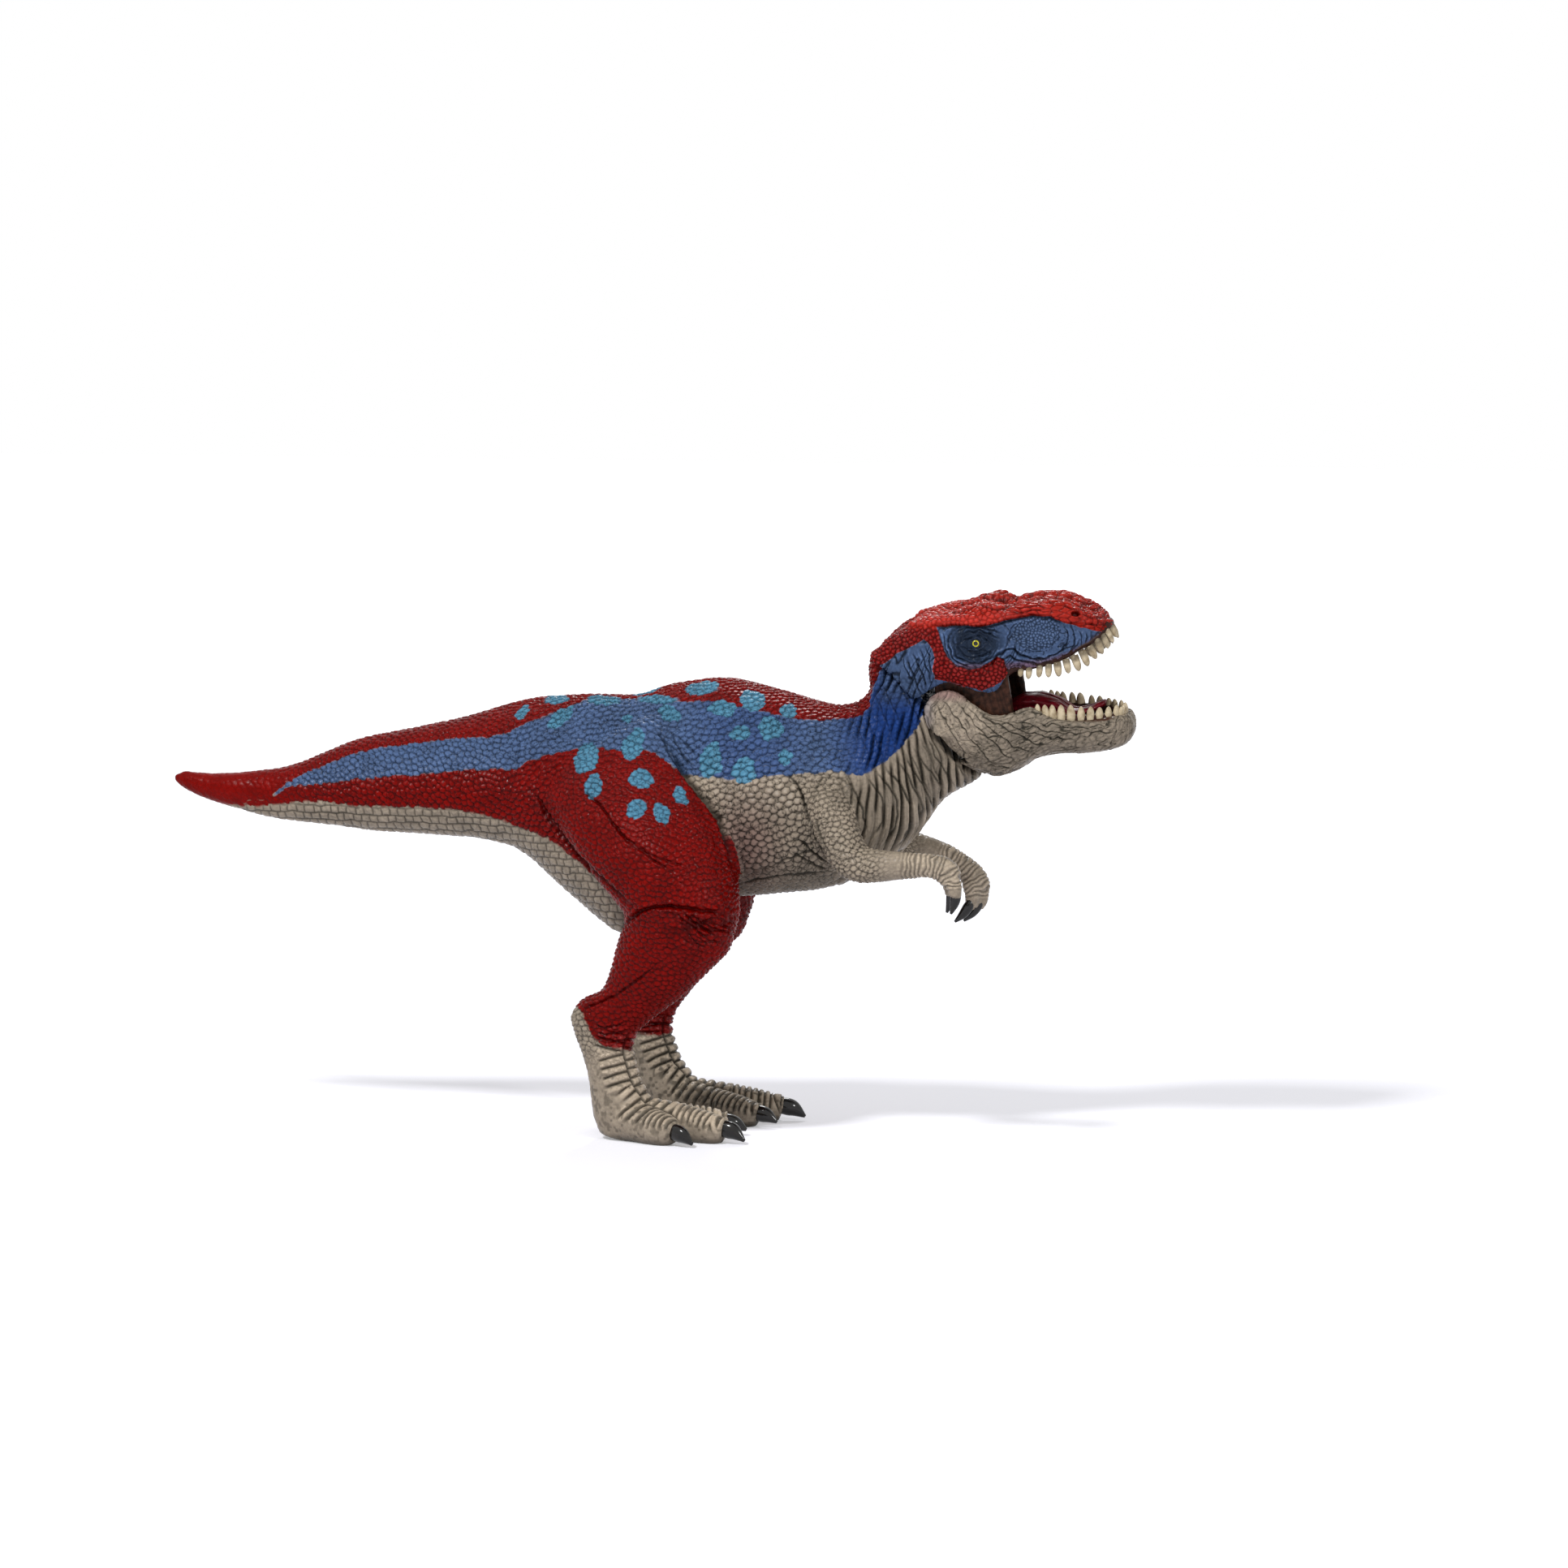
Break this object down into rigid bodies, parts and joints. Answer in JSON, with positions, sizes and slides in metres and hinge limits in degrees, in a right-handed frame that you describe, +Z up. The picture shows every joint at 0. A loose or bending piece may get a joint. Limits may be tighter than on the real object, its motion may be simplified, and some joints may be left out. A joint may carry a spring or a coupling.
{
  "type": "toy dinosaur figure",
  "caption": "Standing two-legged toy dinosaur figure with a long tail, small arms and an open mouth whose lower jaw turns on a hidden hinge pin.",
  "frame": {"origin": "on the ground, under the middle of the figure's bounding box", "axes": "+X towards the snout, +Y towards the figure's left side, +Z up"},
  "size_m": [0.2804, 0.072, 0.1543],
  "materials": {
    "trunk": "satin painted vinyl, scaled skin in blue, red and grey-beige",
    "tail": "satin painted vinyl, red and blue stripes",
    "right_leg": "satin painted vinyl, red down to the ankle, grey-beige foot, black claws",
    "left_leg": "satin painted vinyl, red down to the ankle, grey-beige foot, black claws",
    "right_arm": "satin painted vinyl, grey-beige with pebbled skin, black claws",
    "left_arm": "satin painted vinyl, grey-beige with pebbled skin, black claws",
    "head_shell": "satin painted vinyl, red crown and cheek, blue mask",
    "upper_teeth_plate": "cream, slightly glossy",
    "mouth_lining": "dark brown, dull",
    "lower_jaw": "satin painted vinyl, grey with dark creases",
    "lower_teeth_rail": "cream, slightly glossy",
    "tongue": "dark red, glossy",
    "jaw_pin": "plain moulded pin, out of sight"
  },
  "bodies": {
    "figure": {"trunk": "trunk", "tail": "tail", "right_leg": "right_leg", "left_leg": "left_leg", "right_arm": "right_arm", "left_arm": "left_arm", "head_shell": "head_shell", "upper_teeth_plate": "upper_teeth_plate", "mouth_lining": "mouth_lining", "jaw_pin": "jaw_pin"},
    "jaw": {"lower_jaw": "lower_jaw", "lower_teeth_rail": "lower_teeth_rail", "tongue": "tongue"}
  },
  "joints": [
    {"name": "jaw_hinge", "type": "hinge", "parent": "figure", "child": "jaw", "pos_m": [0.09016, 0, 0.12205], "axis": [0, -0.9877, -0.1564], "range_deg": [0, 20]}
  ]
}
